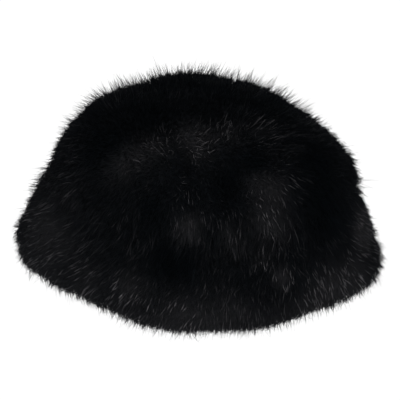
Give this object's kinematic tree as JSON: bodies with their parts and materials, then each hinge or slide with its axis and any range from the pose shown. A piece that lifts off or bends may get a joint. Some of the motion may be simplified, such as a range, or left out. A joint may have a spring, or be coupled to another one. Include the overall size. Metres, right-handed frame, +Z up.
{
  "type": "fur hat with a deep fur cuff",
  "caption": "Soft domed fur hat with a deep turned-up cuff that flares to the rim, hollow for the head, standing on its rim.",
  "frame": {"origin": "on the surface the hat stands on, below the middle of its bounding box", "axes": "+Z up, -X towards the front of the hat, +X towards its back, the head opening facing -Z"},
  "size_m": [0.2769, 0.2136, 0.1444],
  "materials": {
    "black_fur": "deep soft pile with a light sheen",
    "pelt_leather": "matt skin side"
  },
  "bodies": {
    "root": {"crown_pelt": "pelt_leather", "crown_fur": "black_fur", "cuff_fur": "black_fur"}
  },
  "joints": []
}
